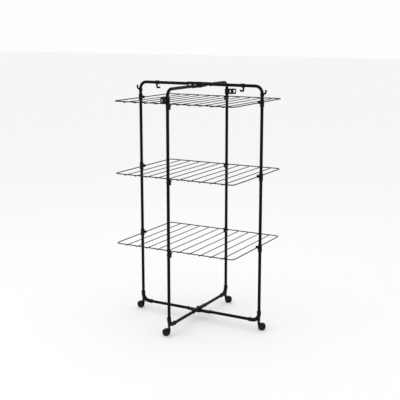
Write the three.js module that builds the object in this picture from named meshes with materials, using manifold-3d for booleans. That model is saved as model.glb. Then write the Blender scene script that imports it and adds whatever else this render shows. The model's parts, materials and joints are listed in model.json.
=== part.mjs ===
// Three-tier tower airer on castors: two crossed tube frames that scissor about
// a vertical centre line, six wire wings that hinge on the inner frame, and the
// plastic fittings between them. Millimetres, +Z up, floor at z = 0.
import * as THREE from 'three';
import { mergeVertices } from 'three/addons/utils/BufferGeometryUtils.js';
import Module from 'manifold-3d';

const wasm = await Module();
wasm.setup();

// ---------------------------------------------------------------- driving dimensions
const GAP = 0.3;                 // running gap between neighbouring pieces
const TUBE_SIDES = 12;
const SLEEVE_SIDES = 12;

const TUBE_R = 9;                // frame tube
const TUBE_BORE_R = 8.2;
const OUTER_REACH = 405;         // centre line to the legs of the outer frame
const INNER_REACH = 354;         // centre line to the legs of the inner frame
const TOP_Z = 1427;              // level at which the two hub halves meet, top
const FOOT_Z = 58;               // and bottom
const HALF_STEP = 4.5;           // each frame's bars stand this far off that level
const CORNER_R = 42;             // bend at the top corners

const TIER_Z = { top: 1339, middle: 918, bottom: 499 };
const WING_REACH = 388;          // centre line to a wing's outer wire
const WING_HALF_DEPTH = 311;     // centre line to a wing's end wires
const GAPS_PER_TIER = 11;
const WING_CORNER_R = 24;
const EDGE_WIRE_R = 3;
const ROD_R = 2.4;
const ROD_OVERHANG = 4;          // rod ends stand past the end wires
const WELD_SINK = 0.7;           // rods sink this far into the end wires
const PIVOT_X = 5;               // hinge line to the centre plane
const PIVOT_DROP = 8;            // hinge line below the wire level
const CRANK_REACH = 327;         // centre line to where an end wire drops to the hinge line
const HINGE_FACE = 336;          // centre line to the inner face of a hinge bracket
const PIVOT_ENGAGE = 6.5;        // wire end inside its bracket

const SLEEVE_R = 11.8;           // plastic fittings round the tube
const SLEEVE_BORE_R = 9.4;
const ELBOW_R = 42;              // centre-line bend of a foot elbow
const ELBOW_TOP_Z = 112;
const ELBOW_END = 64;            // leg line to the elbow's open end
const LEG_END_Z = 98;            // lower end of a leg inside its elbow
const BAR_END = 46;              // leg line to the end of the foot bar
const STUB_R = 6.5;              // castor socket under the elbow
const STUB_Z = 46.5;

const HUB_ARM = 80;              // centre line to where the hub stops and the tube starts
const HUB_ARM_R = 11.8;
const HUB_LAP = 74;              // centre line to the end of the lap
const HUB_COLLAR_R = 10.2;
const HUB_BOSS_R = 16;
const HUB_PIN_R = 3;
const HUB_PIN_HEAD_R = 7;
const COUNTERBORE = 4;           // pin heads sit this deep in their boss
const SPIGOT_R = 6.6;
const SPIGOT_LENGTH = 22;        // hub spigot inside the tube

const WHEEL_R = 20.5;
const WHEEL_W = 8;
const WHEEL_SIDES = 20;
const TRAIL = 20;                // wheel axle behind the swivel line
const WHEEL_INSET = 3.6;         // centre plane to the inner face of a wheel
const AXLE_R = 2.4;
const STEM_R = 4;
const STEM_TOP_Z = 70;

const HANGER_Z = 1364;
const HANGER_ARM = 58;           // leg line to an arm's tip
const HANGER_PLATE = 5;
const HANGER_HALF_HEIGHT = 17;
const HANGER_RING_HALF = 15;
const HANGER_NECK_R = 10.9;
const RAIL_HOOK_REACH = 285;
const RAIL_HOOK_ROD_R = 5.5;
const SIDE_HOOK_Z = 1384;
const SIDE_HOOK_ROD_R = 5.5;

// degrees from straight outwards, anticlockwise seen from above
const CASTOR_SWING = { right: 0, left: 0, rear: -90, front: -90 };
const HANGER_SWING = { rear: -48, front: -8.5 };

// ---------------------------------------------------------------- materials
const finish = (color, roughness, metalness) =>
  new THREE.MeshStandardMaterial({ color, roughness, metalness });
const TUBE_PAINT = finish(0x141416, 0.38, 0.3);
const WIRE_COAT = finish(0x101012, 0.45, 0.1);
const FITTING = finish(0x1c1c1e, 0.6, 0);
const CASTOR_BODY = finish(0x161618, 0.5, 0);
const WHEEL_TREAD = finish(0x2b2b2e, 0.65, 0);
const STEEL = finish(0x4b4b4d, 0.35, 0.9);

// ---------------------------------------------------------------- solids
function toSolid(geometry) {
  const bare = geometry.index ? geometry.toNonIndexed() : geometry.clone();
  bare.deleteAttribute('normal');
  bare.deleteAttribute('uv');
  const merged = mergeVertices(bare, 1e-4);
  const vertProperties = new Float32Array(merged.attributes.position.array);
  const triVerts = new Uint32Array(merged.index.array);
  return new wasm.Manifold(new wasm.Mesh({ numProp: 3, vertProperties, triVerts }));
}

function toGeometry(solid) {
  const mesh = solid.getMesh();
  const geometry = new THREE.BufferGeometry();
  geometry.setAttribute('position', new THREE.BufferAttribute(new Float32Array(mesh.vertProperties), 3));
  geometry.setIndex(new THREE.BufferAttribute(new Uint32Array(mesh.triVerts), 1));
  geometry.computeVertexNormals();
  return geometry;
}

const join = (first, ...others) => others.reduce((sum, piece) => sum.add(piece), first);
const cut = (first, ...others) => others.reduce((rest, piece) => rest.subtract(piece), first);

// a path whose steps fall exactly on the given stations
class StationPath extends THREE.Curve {
  constructor(stations) {
    super();
    this.stations = stations;
  }

  getPointAt(u, target = new THREE.Vector3()) {
    return target.copy(this.stations[Math.round(u * (this.stations.length - 1))].point);
  }

  getTangentAt(u, target = new THREE.Vector3()) {
    return target.copy(this.stations[Math.round(u * (this.stations.length - 1))].tangent);
  }
}

// stations along straight runs joined by round bends; corners are [x, y, z, bend radius]
function bentPath(corners, stepsPerBend = 5) {
  const points = corners.map(([x, y, z]) => new THREE.Vector3(x, y, z));
  const heading = (i) => points[i + 1].clone().sub(points[i]).normalize();
  const stations = [{ point: points[0], tangent: heading(0) }];
  for (let i = 1; i < points.length - 1; i += 1) {
    const into = heading(i - 1);
    const out = heading(i);
    const turn = into.angleTo(out);
    const radius = corners[i][3];
    const start = points[i].clone().addScaledVector(into, -radius * Math.tan(turn / 2));
    const side = out.clone().addScaledVector(into, -out.dot(into)).normalize();
    for (let k = 0; k <= stepsPerBend; k += 1) {
      const a = (turn * k) / stepsPerBend;
      const point = start.clone().addScaledVector(into, radius * Math.sin(a));
      point.addScaledVector(side, radius * (1 - Math.cos(a)));
      const tangent = into.clone().multiplyScalar(Math.cos(a)).addScaledVector(side, Math.sin(a));
      stations.push({ point, tangent });
    }
  }
  const last = points.length - 1;
  stations.push({ point: points[last], tangent: heading(last - 1) });
  return new StationPath(stations);
}

function ringOutline(radius, sides) {
  const ring = [];
  for (let i = 0; i < sides; i += 1) {
    const a = (2 * Math.PI * (i + 0.5)) / sides;
    ring.push(new THREE.Vector2(radius * Math.cos(a), radius * Math.sin(a)));
  }
  return ring;
}

function sweep(path, radius, sides, boreRadius = 0, boreSides = 8) {
  const section = new THREE.Shape(ringOutline(radius, sides));
  if (boreRadius > 0) {
    section.holes.push(new THREE.Path(ringOutline(boreRadius, boreSides)));
  }
  const steps = path.stations.length - 1;
  return new THREE.ExtrudeGeometry(section, { steps, extrudePath: path, bevelEnabled: false });
}

// round bar between two points
function bar(from, to, radius, sides = TUBE_SIDES) {
  return toSolid(sweep(bentPath([from, to]), radius, sides));
}

function box(x0, x1, y0, y1, z0, z1) {
  const shape = new THREE.BoxGeometry(x1 - x0, y1 - y0, z1 - z0);
  shape.translate((x0 + x1) / 2, (y0 + y1) / 2, (z0 + z1) / 2);
  return toSolid(shape);
}

// flat plate standing in the XZ plane, centred on y = 0
function uprightPlate(shape, thickness, curveSegments = 4) {
  const plate = new THREE.ExtrudeGeometry(shape, { depth: thickness, bevelEnabled: false, curveSegments });
  plate.rotateX(Math.PI / 2);
  plate.translate(0, thickness / 2, 0);
  return toSolid(plate);
}

// ---------------------------------------------------------------- assembly helpers
const rack = new THREE.Group();

function add(name, geometry, material, { turn = 0, at = [0, 0, 0], flip = false, swing = 0 } = {}) {
  const mesh = new THREE.Mesh(geometry, material);
  mesh.name = name;
  const holder = new THREE.Group();
  holder.rotation.z = turn;
  mesh.position.set(...at);
  mesh.rotation.set(flip ? Math.PI : 0, 0, THREE.MathUtils.degToRad(swing));
  holder.add(mesh);
  rack.add(holder);
}

// every fitting is drawn on the +X side and turned to its leg
const FRAMES = {
  outer: { reach: OUTER_REACH, rise: 1, legs: { right: 0, left: Math.PI } },
  inner: { reach: INNER_REACH, rise: -1, legs: { rear: Math.PI / 2, front: -Math.PI / 2 } },
};

// ---------------------------------------------------------------- frame tubes
function postGeometry(reach, barZ) {
  const path = bentPath([
    [reach, 0, LEG_END_Z],
    [reach, 0, barZ, CORNER_R],
    [HUB_ARM + GAP, 0, barZ],
  ], 5);
  return sweep(path, TUBE_R, TUBE_SIDES, TUBE_BORE_R);
}

function footBarGeometry(reach, barZ) {
  const path = bentPath([[HUB_ARM + GAP, 0, barZ], [reach - BAR_END, 0, barZ]]);
  return sweep(path, TUBE_R, TUBE_SIDES, TUBE_BORE_R);
}

// curved socket that turns the leg into the foot bar and takes the castor stem
function elbowGeometry(reach, barZ) {
  const bend = bentPath([
    [reach, 0, ELBOW_TOP_Z],
    [reach, 0, barZ, ELBOW_R],
    [reach - ELBOW_END, 0, barZ],
  ], 5);
  const body = toSolid(sweep(bend, SLEEVE_R, SLEEVE_SIDES));
  const stub = bar([reach, 0, STUB_Z], [reach, 0, LEG_END_Z - 3], STUB_R, SLEEVE_SIDES);
  const legSocket = bar([reach, 0, LEG_END_Z - GAP], [reach, 0, ELBOW_TOP_Z + 1],
    SLEEVE_BORE_R, SLEEVE_SIDES);
  const barSocket = bar([reach - ELBOW_END - 1, 0, barZ], [reach - BAR_END + GAP, 0, barZ],
    SLEEVE_BORE_R, SLEEVE_SIDES);
  const stemSocket = bar([reach, 0, STUB_Z - 1], [reach, 0, STEM_TOP_Z + 3], STEM_R + GAP, 10);
  return toGeometry(cut(join(body, stub), legSocket, barSocket, stemSocket));
}

// half-lapped hub, drawn for the bar that stands above the meeting level z = 0
function hubGeometry() {
  const axisZ = HALF_STEP;
  const bossTop = axisZ + HUB_ARM_R;
  const clear = 2 * HUB_BOSS_R;
  const arm = bar([-HUB_LAP - 2, 0, axisZ], [HUB_LAP + 2, 0, axisZ], HUB_ARM_R);
  const boss = bar([0, 0, 0], [0, 0, bossTop], HUB_BOSS_R, 18);
  const lap = box(-HUB_LAP, HUB_LAP, -clear, clear, -clear, GAP / 2);
  let hub = cut(join(arm, boss), lap);
  for (const side of [-1, 1]) {
    const collar = bar([side * (HUB_LAP + 1), 0, axisZ], [side * HUB_ARM, 0, axisZ], HUB_COLLAR_R);
    const spigotEnd = side * (HUB_ARM + SPIGOT_LENGTH);
    const spigot = bar([side * (HUB_ARM - 1), 0, axisZ], [spigotEnd, 0, axisZ], SPIGOT_R, 8);
    hub = join(hub, collar, spigot);
  }
  const pinHole = bar([0, 0, -1], [0, 0, clear], HUB_PIN_R + GAP, 10);
  const counterbore = bar([0, 0, bossTop - COUNTERBORE], [0, 0, clear], HUB_PIN_HEAD_R + 1);
  return toGeometry(cut(hub, pinHole, counterbore));
}

function hubPinGeometry() {
  const seat = HALF_STEP + HUB_ARM_R - COUNTERBORE;
  const shank = bar([0, 0, -seat - 1], [0, 0, seat + 1], HUB_PIN_R, 10);
  const upperHead = bar([0, 0, seat + GAP], [0, 0, seat + 3], HUB_PIN_HEAD_R);
  const lowerHead = bar([0, 0, -seat - 3], [0, 0, -seat - GAP], HUB_PIN_HEAD_R);
  return toGeometry(join(shank, upperHead, lowerHead));
}

for (const [frameName, { reach, rise, legs }] of Object.entries(FRAMES)) {
  const topBarZ = TOP_Z + rise * HALF_STEP;
  const footBarZ = FOOT_Z - rise * HALF_STEP;
  for (const [leg, turn] of Object.entries(legs)) {
    add(`${frameName}_post_${leg}`, postGeometry(reach, topBarZ), TUBE_PAINT, { turn });
    add(`${frameName}_foot_bar_${leg}`, footBarGeometry(reach, footBarZ), TUBE_PAINT, { turn });
    add(`${frameName}_foot_elbow_${leg}`, elbowGeometry(reach, footBarZ), FITTING, { turn });
  }
  const turn = rise > 0 ? 0 : Math.PI / 2;
  add(`${frameName}_hub_top`, hubGeometry(), FITTING, { turn, at: [0, 0, TOP_Z], flip: rise < 0 });
  add(`${frameName}_hub_foot`, hubGeometry(), FITTING, { turn, at: [0, 0, FOOT_Z], flip: rise > 0 });
}
add('hub_pin_top', hubPinGeometry(), STEEL, { at: [0, 0, TOP_Z] });
add('hub_pin_foot', hubPinGeometry(), STEEL, { at: [0, 0, FOOT_Z] });

// ---------------------------------------------------------------- wings
const ROD_PITCH = (2 * WING_REACH) / GAPS_PER_TIER;

// one wing at wire level z = 0: a bent wire round three sides, its ends cranked
// down to the hinge line, and five rods welded under it
function wingGeometry() {
  const tip = HINGE_FACE + PIVOT_ENGAGE;
  const edgeWire = bentPath([
    [PIVOT_X, -tip, -PIVOT_DROP],
    [PIVOT_X, -CRANK_REACH, -PIVOT_DROP, 3.5],
    [PIVOT_X, -CRANK_REACH, 0, 4],
    [PIVOT_X, -WING_HALF_DEPTH, 0, 6],
    [WING_REACH, -WING_HALF_DEPTH, 0, WING_CORNER_R],
    [WING_REACH, WING_HALF_DEPTH, 0, WING_CORNER_R],
    [PIVOT_X, WING_HALF_DEPTH, 0, 6],
    [PIVOT_X, CRANK_REACH, 0, 4],
    [PIVOT_X, CRANK_REACH, -PIVOT_DROP, 3.5],
    [PIVOT_X, tip, -PIVOT_DROP],
  ], 3);
  let wing = toSolid(sweep(edgeWire, EDGE_WIRE_R, 8));
  const rodZ = WELD_SINK - EDGE_WIRE_R - ROD_R;
  const rodEnd = WING_HALF_DEPTH + ROD_OVERHANG;
  for (let i = 0; i < (GAPS_PER_TIER - 1) / 2; i += 1) {
    const x = (i + 0.5) * ROD_PITCH;
    wing = wing.add(bar([x, -rodEnd, rodZ], [x, rodEnd, rodZ], ROD_R, 6));
  }
  return toGeometry(wing);
}

// block on the inner side of an inner leg, held by a thin band round the leg;
// both wings of the tier hinge in it
function hingeBracketGeometry() {
  const leg = INNER_REACH;
  const low = -29;
  const high = -2;
  const block = box(HINGE_FACE, leg - 5, -10, 10, low, high);
  const band = bar([leg, 0, -20], [leg, 0, -8], SLEEVE_BORE_R + 1.6, SLEEVE_SIDES);
  const bore = bar([leg, 0, low - 1], [leg, 0, high + 1], SLEEVE_BORE_R, SLEEVE_SIDES);
  const sockets = [-PIVOT_X, PIVOT_X].map((y) => bar(
    [HINGE_FACE - 1, y, -PIVOT_DROP],
    [HINGE_FACE + PIVOT_ENGAGE + 0.5, y, -PIVOT_DROP],
    EDGE_WIRE_R + 0.4, 10,
  ));
  return toGeometry(cut(join(block, band), bore, ...sockets));
}

// collar on an outer leg with a jaw, open downwards, that a wing's outer wire snaps into
function edgeClipGeometry() {
  const leg = OUTER_REACH;
  const jawInner = WING_REACH - 7;
  const low = -22;
  const high = 18;
  const collar = bar([leg, 0, low], [leg, 0, high], SLEEVE_R + 0.4, SLEEVE_SIDES);
  const jaw = box(jawInner, leg - 4, -8, 8, -6, 9);
  const bore = bar([leg, 0, low - 1], [leg, 0, high + 1], SLEEVE_BORE_R, SLEEVE_SIDES);
  const throatHalf = EDGE_WIRE_R + 0.4;
  const seat = bar([WING_REACH, -20, 0], [WING_REACH, 20, 0], throatHalf, 10);
  const throat = box(WING_REACH - throatHalf, WING_REACH + throatHalf, -20, 20, -30, 0);
  return toGeometry(cut(join(collar, jaw), bore, seat, throat));
}

for (const [tier, z] of Object.entries(TIER_Z)) {
  add(`wing_right_${tier}`, wingGeometry(), WIRE_COAT, { turn: 0, at: [0, 0, z] });
  add(`wing_left_${tier}`, wingGeometry(), WIRE_COAT, { turn: Math.PI, at: [0, 0, z] });
  for (const [leg, turn] of Object.entries(FRAMES.inner.legs)) {
    add(`wing_hinge_${leg}_${tier}`, hingeBracketGeometry(), FITTING, { turn, at: [0, 0, z] });
  }
  for (const [leg, turn] of Object.entries(FRAMES.outer.legs)) {
    add(`wing_clip_${leg}_${tier}`, edgeClipGeometry(), FITTING, { turn, at: [0, 0, z] });
  }
}

// ---------------------------------------------------------------- hanger arms
// neck round the leg between two flanges
function hangerCollarGeometry() {
  const end = HANGER_RING_HALF + 3;
  const neck = bar([0, 0, -end], [0, 0, end], HANGER_NECK_R, SLEEVE_SIDES);
  const flanges = [-1, 1].map((s) => bar(
    [0, 0, s * (HANGER_RING_HALF + GAP)],
    [0, 0, s * end],
    SLEEVE_R + 1.4, SLEEVE_SIDES,
  ));
  const bore = bar([0, 0, -end - 1], [0, 0, end + 1], SLEEVE_BORE_R, SLEEVE_SIDES);
  return toGeometry(cut(join(neck, ...flanges), bore));
}

// rounded slot in an upright plate
function eyeOutline([from, to, halfHeight, cornerR]) {
  const eye = new THREE.Path();
  eye.absarc(to - cornerR, cornerR - halfHeight, cornerR, -Math.PI / 2, 0, false);
  eye.absarc(to - cornerR, halfHeight - cornerR, cornerR, 0, Math.PI / 2, false);
  eye.absarc(from + cornerR, halfHeight - cornerR, cornerR, Math.PI / 2, Math.PI, false);
  eye.absarc(from + cornerR, cornerR - halfHeight, cornerR, Math.PI, 1.5 * Math.PI, false);
  eye.closePath();
  return eye;
}

// flat upright arm with two eyes, on a ring that swivels between the collar's
// flanges; drawn pointing along +X from its leg
function hangerArmGeometry() {
  const tipR = 6;
  const top = HANGER_HALF_HEIGHT;
  const root = HANGER_RING_HALF - 0.2;
  const profile = new THREE.Shape();
  profile.moveTo(12.4, -root);
  profile.lineTo(14, -root);
  profile.lineTo(17, -top);
  profile.absarc(HANGER_ARM - tipR, tipR - top, tipR, -Math.PI / 2, 0, false);
  profile.absarc(HANGER_ARM - tipR, top - tipR, tipR, 0, Math.PI / 2, false);
  profile.lineTo(17, top);
  profile.lineTo(14, root);
  profile.lineTo(12.4, root);
  profile.closePath();
  profile.holes.push(eyeOutline([17, 25, 6.75, 3.5]), eyeOutline([41, 52, 8.25, 4]));
  const plate = uprightPlate(profile, HANGER_PLATE, 3);
  const ring = bar([0, 0, -HANGER_RING_HALF], [0, 0, HANGER_RING_HALF], SLEEVE_R + 1.8, 14);
  const bore = bar([0, 0, -HANGER_RING_HALF - 1], [0, 0, HANGER_RING_HALF + 1], HANGER_NECK_R + 0.7, 12);
  return toGeometry(cut(join(plate, ring), bore));
}

for (const [leg, turn] of Object.entries(FRAMES.inner.legs)) {
  const at = [INNER_REACH, 0, HANGER_Z];
  add(`hanger_collar_${leg}`, hangerCollarGeometry(), FITTING, { turn, at });
  add(`hanger_arm_${leg}`, hangerArmGeometry(), FITTING, { turn, at, swing: HANGER_SWING[leg] });
}

// ---------------------------------------------------------------- hooks
// hook that snaps over the outer top bar, its lip towards the centre
function railHookGeometry() {
  const x = RAIL_HOOK_REACH;
  const halfWidth = 10;
  const clip = bar([x - halfWidth, 0, 0], [x + halfWidth, 0, 0], TUBE_R + 2.6);
  const bore = bar([x - halfWidth - 1, 0, 0], [x + halfWidth + 1, 0, 0], TUBE_R + 0.4);
  const slot = box(x - halfWidth - 1, x + halfWidth + 1, 0, 2 * TUBE_R, -4.5, 4.5);
  const hookPath = bentPath([
    [x + 3, 0, -9.4],
    [x + 3, 0, -31, 7],
    [x - 16, 0, -31, 7],
    [x - 16, 0, -22],
  ], 4);
  const hook = toSolid(sweep(hookPath, RAIL_HOOK_ROD_R, 6));
  return toGeometry(join(cut(clip, bore, slot), hook));
}

// short up-turned hook on a collar at the top of an outer leg
function sideHookGeometry() {
  const leg = OUTER_REACH;
  const collar = bar([leg, 0, -8], [leg, 0, 8], SLEEVE_R - 0.4, SLEEVE_SIDES);
  const bore = bar([leg, 0, -12], [leg, 0, 12], SLEEVE_BORE_R, SLEEVE_SIDES);
  const hookPath = bentPath([
    [leg + 8, 0, 4],
    [leg + 21, 0, 8, 8],
    [leg + 23, 0, 27],
  ], 4);
  return toGeometry(cut(join(collar, toSolid(sweep(hookPath, SIDE_HOOK_ROD_R, 6))), bore));
}

const outerBarZ = TOP_Z + HALF_STEP;
for (const [leg, turn] of Object.entries(FRAMES.outer.legs)) {
  add(`rail_hook_${leg}`, railHookGeometry(), FITTING, { turn, at: [0, 0, outerBarZ] });
  add(`side_hook_${leg}`, sideHookGeometry(), FITTING, { turn, at: [0, 0, SIDE_HOOK_Z] });
}

// ---------------------------------------------------------------- castors
const WEB_HALF = WHEEL_INSET - GAP;
const HOOD_R = WHEEL_R + 2.4;
const WHEEL_ROOM_R = WHEEL_R + 1;
const HOUSING_HALF = WHEEL_INSET + WHEEL_W - 1;
const NECK_TOP_Z = 45;           // lies just under the elbow's castor socket
const BRIDGE_TOP_Z = 41.5;

// twin-wheel housing: stem, web between the wheels and a hood over their tops
function castorHousingGeometry() {
  const stem = bar([0, 0, BRIDGE_TOP_Z], [0, 0, STEM_TOP_Z], STEM_R, 10);
  const neck = bar([0, 0, NECK_TOP_Z - 7], [0, 0, NECK_TOP_Z], 9, 12);
  const web = bar([TRAIL, -WEB_HALF, WHEEL_R], [TRAIL, WEB_HALF, WHEEL_R], WHEEL_R - 4, 16);
  const bridge = box(-6, TRAIL, -WEB_HALF, WEB_HALF, WHEEL_R + 2, BRIDGE_TOP_Z);
  const drum = bar([TRAIL, -HOUSING_HALF, WHEEL_R], [TRAIL, HOUSING_HALF, WHEEL_R], HOOD_R, 24);
  const wheelRoom = bar([TRAIL, -30, WHEEL_R], [TRAIL, 30, WHEEL_R], WHEEL_ROOM_R, 24);
  const below = box(-40, 80, -30, 30, -10, WHEEL_R + 9);
  const hood = cut(drum, wheelRoom, below);
  const tie = cut(
    bar([TRAIL, -WEB_HALF, WHEEL_R], [TRAIL, WEB_HALF, WHEEL_R], HOOD_R - 1, 24),
    box(-40, 80, -30, 30, -10, WHEEL_R),
  );
  const axleHole = bar([TRAIL, -30, WHEEL_R], [TRAIL, 30, WHEEL_R], AXLE_R + 0.35, 10);
  const wheelSides = [-1, 1].map((s) => bar(
    [TRAIL, s * WHEEL_INSET - s * 0.2, WHEEL_R],
    [TRAIL, s * 30, WHEEL_R],
    WHEEL_ROOM_R, 24,
  ));
  const solid = cut(join(neck, bridge, hood, tie), ...wheelSides);
  return toGeometry(cut(join(solid, web, stem), axleHole));
}

// dished wheel, drawn with its axle along Z and its outer face up; one flat of
// its rim faces straight down, at exactly the wheel radius
function wheelGeometry() {
  const rim = WHEEL_R / Math.cos(Math.PI / WHEEL_SIDES);
  const outline = [
    [AXLE_R + 0.25, 0], [rim, 0], [rim, WHEEL_W - 1.4],
    [rim - 1.6, WHEEL_W], [rim - 5, WHEEL_W], [rim - 6.5, WHEEL_W - 1.6],
    [AXLE_R + 0.25, WHEEL_W - 1.6], [AXLE_R + 0.25, 0],
  ].map(([r, h]) => new THREE.Vector2(r, h));
  const wheel = new THREE.LatheGeometry(outline, WHEEL_SIDES, Math.PI / WHEEL_SIDES);
  wheel.rotateX(Math.PI / 2);
  return wheel;
}

function axleGeometry() {
  const end = WHEEL_INSET + WHEEL_W - 0.4;
  return toGeometry(bar([0, 0, -end], [0, 0, end], AXLE_R, 10));
}

for (const { reach, legs } of Object.values(FRAMES)) {
  for (const [leg, turn] of Object.entries(legs)) {
    const castor = new THREE.Group();
    castor.position.set(reach * Math.cos(turn), reach * Math.sin(turn), 0);
    castor.rotation.z = turn + THREE.MathUtils.degToRad(CASTOR_SWING[leg]);
    const place = (name, geometry, material, at, tilt) => {
      const mesh = new THREE.Mesh(geometry, material);
      mesh.name = `castor_${name}_${leg}`;
      mesh.position.set(...at);
      mesh.rotation.x = tilt;
      castor.add(mesh);
    };
    place('housing', castorHousingGeometry(), CASTOR_BODY, [0, 0, 0], 0);
    place('wheel_a', wheelGeometry(), WHEEL_TREAD, [TRAIL, WHEEL_INSET, WHEEL_R], -Math.PI / 2);
    place('wheel_b', wheelGeometry(), WHEEL_TREAD, [TRAIL, -WHEEL_INSET, WHEEL_R], Math.PI / 2);
    place('axle', axleGeometry(), STEEL, [TRAIL, 0, WHEEL_R], Math.PI / 2);
    rack.add(castor);
  }
}

export default rack;
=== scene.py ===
# Looks for the three-tier tower airer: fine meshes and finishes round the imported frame.
import json
import math

import bmesh
import bpy
from mathutils import Matrix, Vector


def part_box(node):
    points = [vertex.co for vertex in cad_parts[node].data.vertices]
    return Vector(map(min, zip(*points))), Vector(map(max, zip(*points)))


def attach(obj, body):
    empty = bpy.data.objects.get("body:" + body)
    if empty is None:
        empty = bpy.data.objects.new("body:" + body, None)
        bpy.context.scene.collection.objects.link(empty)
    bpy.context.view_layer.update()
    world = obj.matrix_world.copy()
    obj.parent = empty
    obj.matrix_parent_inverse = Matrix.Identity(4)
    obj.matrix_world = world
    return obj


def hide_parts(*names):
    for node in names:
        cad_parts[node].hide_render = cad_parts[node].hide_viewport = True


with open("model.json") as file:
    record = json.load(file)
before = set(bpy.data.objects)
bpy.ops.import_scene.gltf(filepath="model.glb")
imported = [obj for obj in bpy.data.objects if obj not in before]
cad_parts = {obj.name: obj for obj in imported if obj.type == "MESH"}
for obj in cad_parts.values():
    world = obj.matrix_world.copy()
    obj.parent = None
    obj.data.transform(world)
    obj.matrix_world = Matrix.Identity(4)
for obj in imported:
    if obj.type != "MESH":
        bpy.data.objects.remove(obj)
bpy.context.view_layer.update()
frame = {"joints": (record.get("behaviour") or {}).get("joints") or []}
JOINTS = {j["name"]: j for j in frame["joints"]}
MM = 0.001

# ---------------------------------------------------------------- sizes read from the frame


def low(node):
    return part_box(node)[0]


def high(node):
    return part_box(node)[1]


def joint_at(name):
    return Vector(JOINTS[name]["pos_m"])


TIERS = ("top", "middle", "bottom")
LEG_TURN = {"right": 0.0, "rear": math.pi / 2, "left": math.pi, "front": -math.pi / 2}
FRAME_OF = {"right": "outer", "left": "outer", "rear": "inner", "front": "inner"}
REACH = {
    "outer": joint_at("castor_right_swivel").x,
    "inner": joint_at("castor_rear_swivel").y,
}
TUBE_R = 9.0 * MM
SLEEVE_R = 11.8 * MM
BORE_R = TUBE_R + 0.25 * MM
LEG_END_Z = low("outer_post_right").z
HUB_ARM = low("outer_foot_bar_right").x
BAR_END = high("outer_foot_bar_right").x
TOP_BAR_Z = {k: high(f"{k}_post_{leg}").z - TUBE_R for k, leg in (("outer", "right"), ("inner", "rear"))}
TOP_MEET_Z = (TOP_BAR_Z["outer"] + TOP_BAR_Z["inner"]) / 2
HALF_STEP = TOP_BAR_Z["outer"] - TOP_MEET_Z
FOOT_BAR_Z = {}
for kind, foot_bar in (("outer", "outer_foot_bar_right"), ("inner", "inner_foot_bar_rear")):
    FOOT_BAR_Z[kind] = (low(foot_bar).z + high(foot_bar).z) / 2
FOOT_MEET_Z = (FOOT_BAR_Z["outer"] + FOOT_BAR_Z["inner"]) / 2
CORNER_R = 42.0 * MM
HUB_ARM_R = high("outer_hub_top").z - TOP_MEET_Z - HALF_STEP

WIRE_R = 3.0 * MM
ROD_R = 2.4 * MM
PIVOT_X = joint_at("wing_right_top_fold").x
TIER_Z = {t: high(f"wing_right_{t}").z - WIRE_R for t in TIERS}
PIVOT_DROP = TIER_Z["top"] - joint_at("wing_right_top_fold").z
WING_REACH = high("wing_right_top").x - WIRE_R
WIRE_TIP = high("wing_right_top").y
HALF_DEPTH = 311.0 * MM
CRANK_REACH = 327.0 * MM
WING_CORNER_R = 24.0 * MM
PIVOT_BEND_R = 3.5 * MM
CRANK_BEND_R = 4.0 * MM
END_BEND_R = 6.0 * MM
RODS_PER_WING = 5
ROD_PITCH = 2 * WING_REACH / (2 * RODS_PER_WING + 1)
ROD_OVERHANG = 2.6 * MM
ROD_DOME = 1.4 * MM
WELD_SINK = 0.7 * MM
BEAD_R = 2.7 * MM

ELBOW_TOP_Z = high("outer_foot_elbow_right").z
ELBOW_FOOT_Z = low("outer_foot_elbow_right").z
ELBOW_END = low("outer_foot_elbow_right").x
ELBOW_R = 42.0 * MM

WHEEL_R = joint_at("castor_right_roll").z
TRAIL = joint_at("castor_right_roll").x - joint_at("castor_right_swivel").x
WHEEL_IN = low("castor_wheel_a_right").y
WHEEL_OUT = high("castor_wheel_a_right").y
AXLE_R = 2.4 * MM
STEM_R = 4.0 * MM
STEM_TOP_Z = high("castor_housing_right").z
STUB_R = 6.5 * MM

HANGER_Z = joint_at("hanger_arm_rear_swivel").z
RAIL_HOOK_X = 285 * MM
SIDE_COLLAR_HALF = 8 * MM
SIDE_HOOK_Z = low("side_hook_right").z + SIDE_COLLAR_HALF
HOOK_ROD_R = 5.4 * MM

# cutters reach this far from their piece's middle, which is well past its faces
PAST = 20 * MM
FAR = 30 * MM

# ---------------------------------------------------------------- mesh tools
DOME_STEPS = 5


def new_mesh(name, bm, smooth_angle=40.0):
    bmesh.ops.recalc_face_normals(bm, faces=bm.faces)
    mesh = bpy.data.meshes.new(name)
    bm.to_mesh(mesh)
    bm.free()
    mesh.shade_smooth()
    mesh.set_sharp_from_angle(angle=math.radians(smooth_angle))
    return mesh


def bent_path(corners, steps=12):
    """Points along straight runs joined by round bends; a corner is (x, y, z[, bend radius])."""
    points = [Vector(c[:3]) for c in corners]
    path = [points[0]]
    for i in range(1, len(points) - 1):
        into = (points[i] - points[i - 1]).normalized()
        out = (points[i + 1] - points[i]).normalized()
        turn = into.angle(out)
        radius = corners[i][3]
        start = points[i] - into * radius * math.tan(turn / 2)
        side = (out - into * out.dot(into)).normalized()
        for k in range(steps + 1):
            a = turn * k / steps
            path.append(start + into * radius * math.sin(a) + side * radius * (1 - math.cos(a)))
    path.append(points[-1])
    return path


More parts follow.
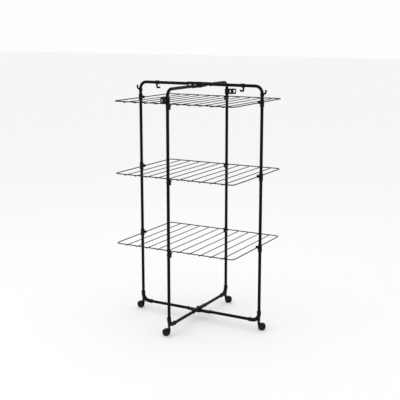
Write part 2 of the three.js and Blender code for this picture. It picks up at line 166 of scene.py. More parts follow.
def add_sweep(bm, path, radius, sides=24, dome=0.0):
    """A closed round bar along path; dome rounds its ends by that length."""
    stations = []
    for i, point in enumerate(path):
        before = path[max(i - 1, 0)]
        after = path[min(i + 1, len(path) - 1)]
        stations.append((point, (after - before).normalized(), radius))
    if dome > 0:
        ends = []
        for (point, heading, _), sign in ((stations[0], -1), (stations[-1], 1)):
            cap = []
            for k in range(1, DOME_STEPS):
                a = math.pi / 2 * k / DOME_STEPS
                cap.append((point + heading * sign * dome * math.sin(a), heading, radius * math.cos(a)))
            ends.append(cap)
        stations = ends[0][::-1] + stations + ends[1]
    normal = stations[0][1].orthogonal().normalized()
    rings = []
    for point, heading, r in stations:
        normal = (normal - heading * normal.dot(heading)).normalized()
        across = heading.cross(normal)
        ring = []
        for k in range(sides):
            a = 2 * math.pi * k / sides
            ring.append(bm.verts.new(point + (normal * math.cos(a) + across * math.sin(a)) * r))
        rings.append(ring)
    for one, two in zip(rings, rings[1:]):
        for k in range(sides):
            bm.faces.new((one[k], one[(k + 1) % sides], two[(k + 1) % sides], two[k]))
    bm.faces.new(rings[0][::-1])
    bm.faces.new(rings[-1])


def sweep(path, radius, **options):
    bm = bmesh.new()
    add_sweep(bm, path, radius, **options)
    return bm


def rod(start, end, radius, sides=28):
    return sweep([Vector(start), Vector(end)], radius, sides=sides)


def upright(x, z0, z1, radius, sides=40):
    """Rod along z at (x, 0)."""
    return rod((x, 0, z0), (x, 0, z1), radius, sides)


def level(x0, x1, z, radius, sides=40):
    """Rod along x at y = 0."""
    return rod((x0, 0, z), (x1, 0, z), radius, sides)


def block(x, y, z):
    bm = bmesh.new()
    bmesh.ops.create_cube(bm, size=1.0)
    scale = Matrix.Diagonal((x[1] - x[0], y[1] - y[0], z[1] - z[0], 1.0))
    centre = Vector((sum(x), sum(y), sum(z))) / 2
    bmesh.ops.transform(bm, matrix=Matrix.Translation(centre) @ scale, verts=bm.verts)
    return bm


def lathe(profile, sides=40):
    """Solid of revolution about Z; profile is (radius, height) from axis to axis or closed on itself."""
    bm = bmesh.new()
    rings = []
    for r, h in profile:
        if r < 1e-9:
            rings.append([bm.verts.new((0, 0, h))])
            continue
        angles = [2 * math.pi * k / sides for k in range(sides)]
        rings.append([bm.verts.new((r * math.cos(a), r * math.sin(a), h)) for a in angles])
    pairs = list(zip(rings, rings[1:]))
    if len(rings[0]) > 1:
        pairs.append((rings[-1], rings[0]))
    for one, two in pairs:
        for k in range(sides):
            n = (k + 1) % sides
            corners = [one[k % len(one)], one[n % len(one)], two[n % len(two)], two[k % len(two)]]
            unique = list(dict.fromkeys(corners))
            if len(unique) > 2:
                bm.faces.new(unique)
    return bm


def mirrored_lathe(side, sides):
    """Solid of revolution; side is half its profile in mm, from z = 0 up, mirrored below."""
    lower = [(r * MM, -h * MM) for r, h in side[::-1]]
    upper = [(r * MM, h * MM) for r, h in side[1:]]
    return lathe(lower + upper, sides)


def outline_plate(points, thickness):
    """Flat plate standing in the XZ plane, centred on y = 0, from an outline of (x, z)."""
    bm = bmesh.new()
    front = [bm.verts.new((x, -thickness / 2, z)) for x, z in points]
    back = [bm.verts.new((x, thickness / 2, z)) for x, z in points]
    bm.faces.new(front)
    bm.faces.new(back[::-1])
    for i in range(len(points)):
        n = (i + 1) % len(points)
        bm.faces.new((front[i], back[i], back[n], front[n]))
    return bm


def temp_object(bm):
    bmesh.ops.recalc_face_normals(bm, faces=bm.faces)
    mesh = bpy.data.meshes.new("temp")
    bm.to_mesh(mesh)
    bm.free()
    obj = bpy.data.objects.new("temp", mesh)
    bpy.context.scene.collection.objects.link(obj)
    return obj


def carve(name, base, joins=(), cuts=(), bevel=0.5 * MM):
    """Joins and cuts solids, then rounds every edge of the result."""
    body = temp_object(base)
    helpers = []
    for kind, group in (("UNION", joins), ("DIFFERENCE", cuts)):
        for bm in group:
            helper = temp_object(bm)
            helpers.append(helper)
            step = body.modifiers.new(kind, "BOOLEAN")
            step.operation = kind
            step.solver = "EXACT"
            step.object = helper
    if bevel > 0:
        round_off = body.modifiers.new("round", "BEVEL")
        round_off.width = bevel
        round_off.segments = 3
        round_off.limit_method = "ANGLE"
        round_off.angle_limit = math.radians(35)
        round_off.use_clamp_overlap = True
    bpy.context.view_layer.update()
    graph = bpy.context.evaluated_depsgraph_get()
    mesh = bpy.data.meshes.new_from_object(body.evaluated_get(graph))
    mesh.name = name
    for helper in [body, *helpers]:
        bpy.data.objects.remove(helper)
    clean = bmesh.new()
    clean.from_mesh(mesh)
    bmesh.ops.remove_doubles(clean, verts=clean.verts, dist=1e-6)
    bmesh.ops.dissolve_degenerate(clean, edges=clean.edges, dist=1e-6)
    clean.to_mesh(mesh)
    clean.free()
    mesh.shade_smooth()
    mesh.set_sharp_from_angle(angle=math.radians(40))
    return mesh


def put(name, mesh, body, material, turn=0.0, at=(0, 0, 0), tilt=None, node=None):
    obj = bpy.data.objects.new(name, mesh)
    bpy.context.scene.collection.objects.link(obj)
    spin = Matrix.Rotation(turn, 4, "Z")
    obj.matrix_world = spin @ Matrix.Translation(at) @ (tilt or Matrix.Identity(4))
    if not mesh.materials:
        mesh.materials.append(material)
    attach(obj, body)
    if node:
        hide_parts(node)
    return obj


FLIP = Matrix.Rotation(math.pi, 4, "X")

# ---------------------------------------------------------------- materials


class Nodes:
    """A small helper for building a node tree."""

    def __init__(self, name):
        self.material = bpy.data.materials.new(name)
        self.material.use_nodes = True
        self.tree = self.material.node_tree
        self.shader = self.tree.nodes["Principled BSDF"]
        self.where = self.add("ShaderNodeTexCoord").outputs["Object"]

    def add(self, kind, **values):
        node = self.tree.nodes.new(kind)
        for key, value in values.items():
            setattr(node, key, value)
        return node

    def link(self, out, into):
        self.tree.links.new(out, into)

    def noise(self, scale, detail=3.0, rough=0.5, stretch=None):
        node = self.add("ShaderNodeTexNoise")
        node.inputs["Scale"].default_value = scale
        node.inputs["Detail"].default_value = detail
        node.inputs["Roughness"].default_value = rough
        source = self.where
        if stretch:
            mapping = self.add("ShaderNodeMapping")
            mapping.inputs["Scale"].default_value = stretch
            self.link(self.where, mapping.inputs["Vector"])
            source = mapping.outputs["Vector"]
        self.link(source, node.inputs["Vector"])
        return node.outputs["Fac"]

    def ramp(self, fac, stops):
        node = self.add("ShaderNodeValToRGB")
        elements = node.color_ramp.elements
        while len(elements) < len(stops):
            elements.new(0.5)
        for element, (position, color) in zip(elements, stops):
            element.position = position
            element.color = (*color, 1.0) if len(color) == 3 else color
        self.link(fac, node.inputs["Fac"])
        return node.outputs["Color"]

    def span(self, fac, low_value, high_value):
        node = self.add("ShaderNodeMapRange")
        node.inputs["To Min"].default_value = low_value
        node.inputs["To Max"].default_value = high_value
        self.link(fac, node.inputs["Value"])
        return node.outputs["Result"]

    def bump(self, layers):
        """layers is (height, strength, distance) for each bump, coarse first."""
        normal = None
        for height, strength, distance in layers:
            node = self.add("ShaderNodeBump")
            node.inputs["Strength"].default_value = strength
            node.inputs["Distance"].default_value = distance
            self.link(height, node.inputs["Height"])
            if normal:
                self.link(normal, node.inputs["Normal"])
            normal = node.outputs["Normal"]
        self.link(normal, self.shader.inputs["Normal"])


def grey(value, tint=0.0):
    return (value, value, value * (1 + tint))


def powder_coat():
    n = Nodes("powder_coat")
    n.shader.inputs["IOR"].default_value = 1.16
    cloud = n.noise(9.0, 4.0, 0.6)
    n.link(n.ramp(cloud, [(0.3, grey(0.002, 0.1)), (0.7, grey(0.0035, 0.12))]), n.shader.inputs["Base Color"])
    n.link(n.span(n.noise(60.0, 4.0), 0.33, 0.46), n.shader.inputs["Roughness"])
    peel = n.noise(900.0, 2.0)
    grit = n.noise(3200.0, 1.0)
    n.bump([(peel, 0.12, 0.0002), (grit, 0.08, 0.0001)])
    return n.material


def wire_coat():
    n = Nodes("wire_coat")
    n.shader.inputs["IOR"].default_value = 1.16
    cloud = n.noise(14.0, 3.0)
    n.link(n.ramp(cloud, [(0.3, grey(0.003)), (0.7, grey(0.006, 0.05))]), n.shader.inputs["Base Color"])
    n.link(n.span(n.noise(120.0, 3.0), 0.36, 0.5), n.shader.inputs["Roughness"])
    n.bump([(n.noise(500.0, 2.0), 0.15, 0.0002), (n.noise(2600.0, 1.0), 0.08, 0.0001)])
    return n.material


def moulded_plastic(name, dark, light, rough_low, rough_high):
    n = Nodes(name)
    n.shader.inputs["IOR"].default_value = 1.2
    cloud = n.noise(30.0, 4.0, 0.6)
    n.link(n.ramp(cloud, [(0.3, grey(dark)), (0.7, grey(light, 0.04))]), n.shader.inputs["Base Color"])
    n.link(n.span(n.noise(200.0, 3.0), rough_low, rough_high), n.shader.inputs["Roughness"])
    grain = n.add("ShaderNodeTexVoronoi", feature="SMOOTH_F1")
    grain.inputs["Scale"].default_value = 1800.0
    n.link(n.where, grain.inputs["Vector"])
    n.bump([(n.noise(90.0, 2.0), 0.05, 0.0004), (grain.outputs["Distance"], 0.22, 0.0002)])
    return n.material


def wheel_plastic():
    n = Nodes("wheel_tread")
    n.shader.inputs["IOR"].default_value = 1.25
    scuff = n.noise(260.0, 5.0, 0.7, stretch=(1.0, 1.0, 0.3))
    n.link(n.ramp(scuff, [(0.38, grey(0.004)), (0.62, grey(0.009)), (0.8, grey(0.016, -0.08))]),
           n.shader.inputs["Base Color"])
    n.link(n.span(scuff, 0.45, 0.75), n.shader.inputs["Roughness"])
    n.bump([(n.noise(700.0, 3.0), 0.25, 0.0002)])
    return n.material


def blackened_steel():
    n = Nodes("blackened_steel")
    n.shader.inputs["Metallic"].default_value = 1.0
    cloud = n.noise(300.0, 5.0, 0.7)
    n.link(n.ramp(cloud, [(0.3, (0.05, 0.05, 0.055)), (0.7, (0.09, 0.09, 0.088))]),
           n.shader.inputs["Base Color"])
    n.link(n.span(cloud, 0.28, 0.45), n.shader.inputs["Roughness"])
    n.bump([(n.noise(1500.0, 2.0), 0.1, 0.0001)])
    return n.material


PAINT = powder_coat()
WIRE = wire_coat()
FITTING = moulded_plastic("fitting_plastic", 0.003, 0.006, 0.5, 0.62)
CASTOR = moulded_plastic("castor_plastic", 0.003, 0.006, 0.42, 0.55)
TREAD = wheel_plastic()
STEEL = blackened_steel()

# ---------------------------------------------------------------- frame tubes
LIP = 1.0 * MM
LIP_LENGTH = 7 * MM
STUB_TOP_Z = LEG_END_Z - 3 * MM
STUB_NECK_R = STUB_R + 1.6 * MM
for kind in ("outer", "inner"):
    reach, bar_z = REACH[kind], TOP_BAR_Z[kind]
    foot_z = FOOT_BAR_Z[kind]
    post = new_mesh(f"{kind}_post", sweep(bent_path([
        (reach, 0, LEG_END_Z),
        (reach, 0, bar_z, CORNER_R),
        (HUB_ARM, 0, bar_z),
    ], 20), TUBE_R, sides=40))
    bar_end = reach - (REACH["outer"] - BAR_END)
    foot_bar = new_mesh(f"{kind}_foot_bar", level(HUB_ARM, bar_end, foot_z, TUBE_R))

    sleeve_end = reach - (REACH["outer"] - ELBOW_END)
    bend = bent_path([
        (reach, 0, ELBOW_TOP_Z),
        (reach, 0, foot_z, ELBOW_R),
        (sleeve_end, 0, foot_z),
    ], 16)
    elbow = carve(
        f"{kind}_elbow",
        sweep(bend, SLEEVE_R, sides=36),
        joins=[
            upright(reach, ELBOW_FOOT_Z, STUB_TOP_Z, STUB_R, 36),
            upright(reach, foot_z - 2 * MM, STUB_TOP_Z, STUB_NECK_R, 36),
            upright(reach, ELBOW_TOP_Z - LIP_LENGTH, ELBOW_TOP_Z + 0.2 * MM, SLEEVE_R + LIP, 36),
            level(sleeve_end - 0.2 * MM, sleeve_end + LIP_LENGTH, foot_z, SLEEVE_R + LIP, 36),
        ],
        cuts=[
            upright(reach, LEG_END_Z, ELBOW_TOP_Z + 5 * MM, BORE_R, 36),
            level(sleeve_end - 5 * MM, bar_end, foot_z, BORE_R, 36),
            upright(reach, ELBOW_FOOT_Z - MM, STEM_TOP_Z + 2 * MM, STEM_R + 0.3 * MM, 28),
        ],
        bevel=0.7 * MM,
    )
    for leg, turn in LEG_TURN.items():
        if FRAME_OF[leg] != kind:
            continue
        body = f"{kind}_frame"
        put(f"{kind}_tube_{leg}", post, body, PAINT, turn, node=f"{kind}_post_{leg}")
        put(f"{kind}_foot_tube_{leg}", foot_bar, body, PAINT, turn,
            node=f"{kind}_foot_bar_{leg}")
        put(f"{kind}_elbow_{leg}", elbow, body, FITTING, turn, node=f"{kind}_foot_elbow_{leg}")

# half-lapped hub, drawn for the bar above its meeting level z = 0
BOSS_R = (high("outer_hub_top").y - low("outer_hub_top").y) / 2
BOSS_TOP = HALF_STEP + HUB_ARM_R
PIN_SEAT = BOSS_TOP - 4 * MM
SEAT_R = 7.8 * MM
PIN_BORE_R = 3.2 * MM
ARM_COLLAR_R = TUBE_R + 1.2 * MM
LAP = HUB_ARM - 6.3 * MM
LAP_GAP = 0.15 * MM
hub = carve(
    "hub",
    level(-LAP - 2 * MM, LAP + 2 * MM, HALF_STEP, HUB_ARM_R, 44),
    joins=[
        upright(0, 0, BOSS_TOP, BOSS_R, 48),
        *[level(s * LAP, s * HUB_ARM, HALF_STEP, ARM_COLLAR_R, 36) for s in (-1, 1)],
    ],
    cuts=[
        block((-LAP, LAP), (-FAR, FAR), (-FAR, LAP_GAP)),
        upright(0, -MM, FAR, PIN_BORE_R, 28),
        upright(0, PIN_SEAT, FAR, SEAT_R, 36),
    ],
    bevel=0.7 * MM,
)
HUB_TURN = {"outer": 0.0, "inner": math.pi / 2}
for place, meet_z, over in (("top", TOP_MEET_Z, "outer"), ("foot", FOOT_MEET_Z, "inner")):
    for kind, turn in HUB_TURN.items():
        tilt = None if kind == over else FLIP
        put(f"{kind}_hub_half_{place}", hub, f"{kind}_frame", FITTING, turn,
            (0, 0, meet_z), tilt, node=f"{kind}_hub_{place}")

seat = PIN_SEAT / MM
pin_side = [(3.0, 0.0), (3.0, seat + 0.3), (7.0, seat + 0.3), (7.0, seat + 1.6),
            (6.2, seat + 2.6), (4.6, seat + 3.3), (0.0, seat + 3.6)]
hub_pin = new_mesh("hub_pin", mirrored_lathe(pin_side, 36), 30)
for place, meet_z in (("top", TOP_MEET_Z), ("foot", FOOT_MEET_Z)):
    put(f"hub_rivet_{place}", hub_pin, "inner_frame", STEEL, at=(0, 0, meet_z),
        node=f"hub_pin_{place}")

# ---------------------------------------------------------------- wings


def wing_mesh():
    """Edge wire with cranked ends and the rods welded under it, at wire level z = 0."""
    bm = bmesh.new()
    rear_half = [
        (WING_REACH, HALF_DEPTH, 0, WING_CORNER_R),
        (PIVOT_X, HALF_DEPTH, 0, END_BEND_R),
        (PIVOT_X, CRANK_REACH, 0, CRANK_BEND_R),
        (PIVOT_X, CRANK_REACH, -PIVOT_DROP, PIVOT_BEND_R),
        (PIVOT_X, WIRE_TIP, -PIVOT_DROP),
    ]
    front_half = [(x, -y, *rest) for x, y, *rest in rear_half[::-1]]
    add_sweep(bm, bent_path(front_half + rear_half, 12), WIRE_R, sides=20)
    rod_z = -WIRE_R - ROD_R + WELD_SINK
    rod_end = HALF_DEPTH + ROD_OVERHANG
    bead_shape = Matrix.Diagonal((1.3, 1.0, 0.62, 1.0))
    for i in range(RODS_PER_WING):
        x = (i + 0.5) * ROD_PITCH
        add_sweep(bm, [Vector((x, -rod_end, rod_z)), Vector((x, rod_end, rod_z))], ROD_R,
                  sides=16, dome=ROD_DOME)
        for y in (-HALF_DEPTH, HALF_DEPTH):
            bead = Matrix.Translation((x, y, -WIRE_R + 0.2 * MM)) @ bead_shape
            bmesh.ops.create_icosphere(bm, subdivisions=3, radius=BEAD_R, matrix=bead)
    return new_mesh("wing", bm, 60)


WING = wing_mesh()
for tier in TIERS:
    for side, turn in (("right", 0.0), ("left", math.pi)):
        node = f"wing_{side}_{tier}"
        put(f"{node}_wires", WING, node, WIRE, turn, (0, 0, TIER_Z[tier]), node=node)

# ---------------------------------------------------------------- hinge brackets and clips
HINGE_FACE = low("wing_hinge_rear_top").y
inner_leg, outer_leg = REACH["inner"], REACH["outer"]
hinge_low = low("wing_hinge_rear_top").z - TIER_Z["top"]
hinge_high = high("wing_hinge_rear_top").z - TIER_Z["top"]
BAND_R = high("wing_hinge_rear_top").y - inner_leg
BAND_LOW, BAND_HIGH = -20 * MM, -8 * MM
BLOCK_HALF = 10 * MM
PANEL_HALF = 6 * MM
hinge = carve(
    "wing_hinge",
    block((HINGE_FACE, inner_leg - 5 * MM), (-BLOCK_HALF, BLOCK_HALF), (hinge_low, hinge_high)),
    joins=[upright(inner_leg, BAND_LOW, BAND_HIGH, BAND_R)],
    cuts=[
        upright(inner_leg, hinge_low - MM, hinge_high + MM, BORE_R),
        *[rod((HINGE_FACE - MM, s * PIVOT_X, -PIVOT_DROP), (WIRE_TIP + 0.3 * MM, s * PIVOT_X, -PIVOT_DROP),
              WIRE_R + 0.25 * MM) for s in (-1, 1)],
        block((HINGE_FACE - MM, HINGE_FACE + 0.8 * MM), (-PANEL_HALF, PANEL_HALF),
              (hinge_low + 4 * MM, -PIVOT_DROP - 6 * MM)),
    ],
    bevel=0.9 * MM,
)
clip_low = low("wing_clip_right_top").z - TIER_Z["top"]
clip_high = high("wing_clip_right_top").z - TIER_Z["top"]
RIM_R = SLEEVE_R + 0.8 * MM
RIM_LENGTH = 4 * MM
JAW_HALF = 8 * MM
JAW_LOW, JAW_HIGH = -6 * MM, 9 * MM
JAW_LIP = 7 * MM
throat = WIRE_R + 0.35 * MM
clip = carve(
    "wing_clip",
    upright(outer_leg, clip_low, clip_high, SLEEVE_R),
    joins=[
        upright(outer_leg, clip_low, clip_low + RIM_LENGTH, RIM_R),
        upright(outer_leg, clip_high - RIM_LENGTH, clip_high, RIM_R),
        block((WING_REACH - JAW_LIP, outer_leg - 4 * MM), (-JAW_HALF, JAW_HALF), (JAW_LOW, JAW_HIGH)),
    ],
    cuts=[
        upright(outer_leg, clip_low - MM, clip_high + MM, BORE_R),
        rod((WING_REACH, -PAST, 0), (WING_REACH, PAST, 0), throat, 28),
        block((WING_REACH - throat, WING_REACH + throat), (-PAST, PAST), (-FAR, 0)),
    ],
    bevel=0.9 * MM,
)

screw_outline = [(0, -1.5), (2.6, -1.5), (2.6, 0), (3.3, 0), (3.3, 0.5), (2.9, 1.2), (1.9, 1.7), (0, 1.9)]
screw_head = [(r * MM, h * MM) for r, h in screw_outline]
slot_long, slot_wide, slot_deep = (-1.9 * MM, 1.9 * MM), (-0.4 * MM, 0.4 * MM), (0.9 * MM, 3 * MM)
screw = carve(
    "screw",
    lathe(screw_head, 28),
    cuts=[block(slot_long, slot_wide, slot_deep), block(slot_wide, slot_long, slot_deep)],
    bevel=0,
)
FACE_OUT = Matrix.Rotation(math.pi / 2, 4, "Y")


def put_screw(name, body, turn, at):
    put(name, screw, body, STEEL, turn, at, FACE_OUT)


for tier in TIERS:
    tier_at = (0, 0, TIER_Z[tier])
    for leg, turn in LEG_TURN.items():
        if FRAME_OF[leg] == "inner":
            put(f"hinge_bracket_{leg}_{tier}", hinge, "inner_frame", FITTING, turn, tier_at,
                node=f"wing_hinge_{leg}_{tier}")
            put_screw(f"hinge_screw_{leg}_{tier}", "inner_frame", turn,
                      (inner_leg + BAND_R - 0.4 * MM, 0, TIER_Z[tier] + (BAND_LOW + BAND_HIGH) / 2))
        else:
            put(f"snap_clip_{leg}_{tier}", clip, "outer_frame", FITTING, turn, tier_at,
                node=f"wing_clip_{leg}_{tier}")
            put_screw(f"clip_screw_{leg}_{tier}", "outer_frame", turn,
                      (outer_leg + SLEEVE_R - 0.1 * MM, 0, TIER_Z[tier] + (clip_low + clip_high) / 2))

# ---------------------------------------------------------------- hanger arms
RING_HALF = 15 * MM
RING_R = SLEEVE_R + 1.8 * MM
RING_BORE_R = 11.2 * MM
COLLAR_NECK_R = 10.9 * MM
COLLAR_HALF = high("hanger_collar_rear").z - HANGER_Z
COLLAR_R = high("hanger_collar_rear").y - inner_leg
hanger_collar = carve(
    "hanger_collar",
    upright(0, -COLLAR_HALF, COLLAR_HALF, COLLAR_NECK_R),
    joins=[upright(0, s * (RING_HALF + 0.3 * MM), s * COLLAR_HALF, COLLAR_R) for s in (-1, 1)],
    cuts=[upright(0, -PAST, PAST, BORE_R)],
    bevel=0.6 * MM,
)
ARM_LENGTH = 58 * MM
ARM_HALF = high("hanger_arm_rear").z - HANGER_Z
ARM_THICK = 5 * MM
TIP_R = 6 * MM
CORNER_STEPS = 8
# inner end, outer end, half height and corner radius of each eye
INNER_EYE = (17 * MM, 25 * MM, 6.75 * MM, 3.5 * MM)
OUTER_EYE = (41 * MM, 52 * MM, 8.25 * MM, 4 * MM)


def slot_outline(x0, x1, half, corner):
    """Rectangle with rounded corners in (x, z), from its lower right corner anticlockwise."""
    points = []
    corners = ((x1 - corner, corner - half), (x1 - corner, half - corner),
               (x0 + corner, half - corner), (x0 + corner, corner - half))
    for quarter, (x, z) in enumerate(corners):
        for k in range(CORNER_STEPS + 1):
            a = math.pi / 2 * (quarter - 1 + k / CORNER_STEPS)
            points.append((x + corner * math.cos(a), z + corner * math.sin(a)))
    return points


tip = slot_outline(ARM_LENGTH / 2, ARM_LENGTH, ARM_HALF, TIP_R)[: 2 * (CORNER_STEPS + 1)]
root_corners = ((17, 17), (14, 14.8), (11.8, 14.8), (11.8, -14.8), (14, -14.8), (17, -17))
root = [(x * MM, z * MM) for x, z in root_corners]
arm = carve(
    "hanger_arm",
    outline_plate(tip + root, ARM_THICK),
    joins=[upright(0, -RING_HALF, RING_HALF, RING_R, 44)],
    cuts=[
        upright(0, -PAST, PAST, RING_BORE_R, 44),
        outline_plate(slot_outline(*INNER_EYE), PAST),
        outline_plate(slot_outline(*OUTER_EYE), PAST),
    ],
    bevel=0.9 * MM,
)
# where each arm points at rest, from +X
HANGER_TURN = {"rear": math.radians(42.0), "front": math.radians(-98.5)}
for leg, arm_turn in HANGER_TURN.items():
    leg_at = (0, inner_leg if leg == "rear" else -inner_leg, HANGER_Z)
    put(f"hanger_sleeve_{leg}", hanger_collar, "inner_frame", FITTING, 0, leg_at,
        node=f"hanger_collar_{leg}")
    put(f"hanger_holder_{leg}", arm, f"hanger_arm_{leg}", FITTING, 0, leg_at,
        Matrix.Rotation(arm_turn, 4, "Z"), node=f"hanger_arm_{leg}")

# ---------------------------------------------------------------- hooks
hook_bar_z = TOP_BAR_Z["outer"]
CLIP_HALF = 10 * MM
CLIP_R = TUBE_R + 2.3 * MM
FLANGE = 2.2 * MM
FLANGE_R = TUBE_R + 2.9 * MM
HOOK_FOOT_Z = -31 * MM
HOOK_BEND_R = 7 * MM
clip_start, clip_end = RAIL_HOOK_X - CLIP_HALF, RAIL_HOOK_X + CLIP_HALF
hook_path = bent_path([
    (RAIL_HOOK_X + 3 * MM, 0, -9.7 * MM),
    (RAIL_HOOK_X + 3 * MM, 0, HOOK_FOOT_Z, HOOK_BEND_R),
    (RAIL_HOOK_X - 16 * MM, 0, HOOK_FOOT_Z, HOOK_BEND_R),
    (RAIL_HOOK_X - 16 * MM, 0, -24 * MM),
], 12)
rail_hook = carve(
    "rail_hook",
    level(clip_start, clip_end, 0, CLIP_R),
    joins=[
        sweep(hook_path, HOOK_ROD_R, sides=24, dome=2 * MM),
        level(clip_start, clip_start + FLANGE, 0, FLANGE_R),
        level(clip_end - FLANGE, clip_end, 0, FLANGE_R),
    ],
    cuts=[
        level(RAIL_HOOK_X - PAST, RAIL_HOOK_X + PAST, 0, TUBE_R + 0.2 * MM),
        block((RAIL_HOOK_X - PAST, RAIL_HOOK_X + PAST), (0, PAST), (-4.5 * MM, 4.5 * MM)),
    ],
    bevel=0.7 * MM,
)
SIDE_BORE_HALF = 12 * MM
side_path = bent_path([
    (outer_leg + 8 * MM, 0, 4 * MM),
    (outer_leg + 21 * MM, 0, 8 * MM, 8 * MM),
    (outer_leg + 23 * MM, 0, 26 * MM),
], 12)
side_hook = carve(
    "side_hook",
    upright(outer_leg, -SIDE_COLLAR_HALF, SIDE_COLLAR_HALF, SLEEVE_R - 0.4 * MM),
    joins=[sweep(side_path, HOOK_ROD_R, sides=24, dome=2 * MM)],
    cuts=[upright(outer_leg, -SIDE_BORE_HALF, SIDE_BORE_HALF, BORE_R)],
    bevel=0.8 * MM,
)
for leg in ("right", "left"):
    turn = LEG_TURN[leg]
    put(f"rail_hook_fine_{leg}", rail_hook, "outer_frame", FITTING, turn, (0, 0, hook_bar_z),
        node=f"rail_hook_{leg}")
    put(f"side_hook_fine_{leg}", side_hook, "outer_frame", FITTING, turn, (0, 0, SIDE_HOOK_Z),
        node=f"side_hook_{leg}")

# ---------------------------------------------------------------- castors
HOOD_R = WHEEL_R + 2.4 * MM
NECK_TOP_Z = 45 * MM
NECK_LENGTH = 7 * MM
SWIVEL_NECK_R = 9 * MM
BRIDGE_TOP_Z = 41.5 * MM
HOOD_RIM_Z = WHEEL_R + 9 * MM
WEB_FOOT_Z = 6 * MM
ROOM_R = WHEEL_R + MM
WEB_HALF = WHEEL_IN - 0.3 * MM
HOOD_HALF = high("castor_housing_right").y

whole_length = (TRAIL - 50 * MM, TRAIL + 50 * MM)
housing = carve(
    "castor_housing",
    rod((TRAIL, -HOOD_HALF, WHEEL_R), (TRAIL, HOOD_HALF, WHEEL_R), HOOD_R, 48),
    joins=[
        upright(0, NECK_TOP_Z - NECK_LENGTH, NECK_TOP_Z, SWIVEL_NECK_R, 36),
        block((-6 * MM, TRAIL), (-WEB_HALF, WEB_HALF), (WHEEL_R + 2 * MM, BRIDGE_TOP_Z)),
    ],
    cuts=[
        *[rod((TRAIL, s * WEB_HALF, WHEEL_R), (TRAIL, s * FAR, WHEEL_R), ROOM_R, 48) for s in (-1, 1)],
        block(whole_length, (WEB_HALF, FAR), (-10 * MM, HOOD_RIM_Z)),
        block(whole_length, (-FAR, -WEB_HALF), (-10 * MM, HOOD_RIM_Z)),
        block(whole_length, (-FAR, FAR), (-10 * MM, WEB_FOOT_Z)),
    ],
    bevel=0.6 * MM,
)
stem = new_mesh("castor_stem", upright(0, BRIDGE_TOP_Z, STEM_TOP_Z - 0.5 * MM, STEM_R, 28))
r, w = WHEEL_R / MM, (WHEEL_OUT - WHEEL_IN) / MM
bore = AXLE_R / MM + 0.2
wheel_outline = [
    (bore, 0.0), (r - 1.0, 0.0), (r - 0.3, 0.3), (r, 1.0), (r, 2.6), (r - 0.35, 2.8), (r - 0.35, 3.2),
    (r, 3.4), (r, w - 2.0), (r - 0.5, w - 0.9), (r - 1.6, w - 0.2), (r - 3.0, w), (r - 4.4, w),
    (r - 5.0, w - 0.3), (r - 5.8, w - 1.5), (r - 7.0, w - 1.9), (8.4, w - 1.9), (7.8, w - 1.6),
    (7.4, w - 0.8), (6.8, w - 0.4), (4.2, w - 0.2), (3.6, w - 0.6), (bore, w - 0.6),
]
wheel = new_mesh("castor_wheel", lathe([(x * MM, y * MM) for x, y in wheel_outline], 64), 30)
axle_half = high("castor_axle_right").y / MM
axle_r = AXLE_R / MM
axle_side = [(axle_r, 0.0), (axle_r, axle_half - 0.7), (1.9, axle_half - 0.2), (1.2, axle_half),
             (0.0, axle_half)]
axle = new_mesh("castor_axle", mirrored_lathe(axle_side, 28), 30)
CASTOR_TURN = {"right": 0.0, "rear": 0.0, "left": math.pi, "front": math.pi}
for leg, turn in CASTOR_TURN.items():
    swivel = joint_at(f"castor_{leg}_swivel")
    ahead = Vector((math.cos(turn), math.sin(turn), 0))
    aside = Vector((-math.sin(turn), math.cos(turn), 0))
    leg_at = Vector((swivel.x, swivel.y, 0))
    hub_at = leg_at + ahead * TRAIL + Vector((0, 0, WHEEL_R))
    facing = Matrix.Rotation(turn, 4, "Z")
    body = f"castor_{leg}"
    put(f"castor_hood_{leg}", housing, body, CASTOR, 0, leg_at, facing,
        node=f"castor_housing_{leg}")
    put(f"castor_stem_{leg}", stem, body, STEEL, 0, leg_at, facing)
    put(f"castor_pin_{leg}", axle, body, STEEL, 0, hub_at,
        facing @ Matrix.Rotation(math.pi / 2, 4, "X"), node=f"castor_axle_{leg}")
    for letter, s in (("a", 1), ("b", -1)):
        put(f"wheel_{letter}_{leg}", wheel, f"castor_wheels_{leg}", TREAD, 0,
            hub_at + aside * s * WHEEL_IN, facing @ Matrix.Rotation(-s * math.pi / 2, 4, "X"),
            node=f"castor_wheel_{letter}_{leg}")

# ---------------------------------------------------------------- studio
VIEW_TURN = math.radians(29.17)
VIEW_DROP = math.radians(11.71)
VIEW_DISTANCE = 5.06
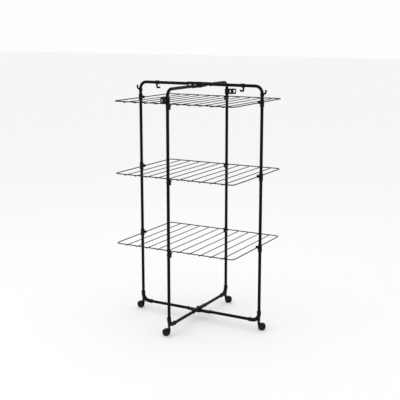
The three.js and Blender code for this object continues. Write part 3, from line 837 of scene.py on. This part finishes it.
# the camera looks at a point this far to its right of the centre line and this high
AIM_RIGHT = 0.0057
AIM_Z = 0.742
AIM = Vector((math.cos(VIEW_TURN), math.sin(VIEW_TURN), 0)) * AIM_RIGHT + Vector((0, 0, AIM_Z))

camera = bpy.data.cameras.new("camera")
camera.sensor_width = 36.0
camera.lens = 76.2
camera.clip_end = 100.0
eye = bpy.data.objects.new("camera", camera)
bpy.context.scene.collection.objects.link(eye)
toward = Vector((-math.sin(VIEW_TURN) * math.cos(VIEW_DROP), math.cos(VIEW_TURN) * math.cos(VIEW_DROP),
                 -math.sin(VIEW_DROP)))
eye.location = AIM - toward * VIEW_DISTANCE
eye.rotation_euler = toward.to_track_quat("-Z", "Y").to_euler()
bpy.context.scene.camera = eye
bpy.context.scene.view_settings.view_transform = "Standard"

floor_bm = bmesh.new()
bmesh.ops.create_grid(floor_bm, x_segments=1, y_segments=1, size=40.0)
floor_mesh = new_mesh("floor", floor_bm)
floor_look = Nodes("floor")
floor_look.shader.inputs["Base Color"].default_value = (0.93, 0.93, 0.93, 1)
floor_look.shader.inputs["Roughness"].default_value = 0.9
floor_mesh.materials.append(floor_look.material)
floor = bpy.data.objects.new("floor", floor_mesh)
bpy.context.scene.collection.objects.link(floor)

world = bpy.data.worlds.new("studio")
world.use_nodes = True
world.node_tree.nodes["Background"].inputs["Color"].default_value = (1, 1, 1, 1)
world.node_tree.nodes["Background"].inputs["Strength"].default_value = 0.985
bpy.context.scene.world = world


def soft_box(name, place, aim, size, power):
    light = bpy.data.lights.new(name, "AREA")
    light.shape = "RECTANGLE"
    light.size, light.size_y = size
    light.energy = power
    obj = bpy.data.objects.new(name, light)
    bpy.context.scene.collection.objects.link(obj)
    obj.location = place
    obj.rotation_euler = (Vector(aim) - Vector(place)).to_track_quat("-Z", "Y").to_euler()


MIDDLE = (0, 0, 0.7)
soft_box("key", place=(-2.6, -3.2, 2.8), aim=MIDDLE, size=(1.4, 2.4), power=14)
soft_box("fill", place=(3.4, -2.2, 1.8), aim=MIDDLE, size=(1.2, 2.2), power=6)
soft_box("top", place=(0, 0.4, 4.2), aim=(0, 0, 0), size=(3.0, 3.0), power=12)
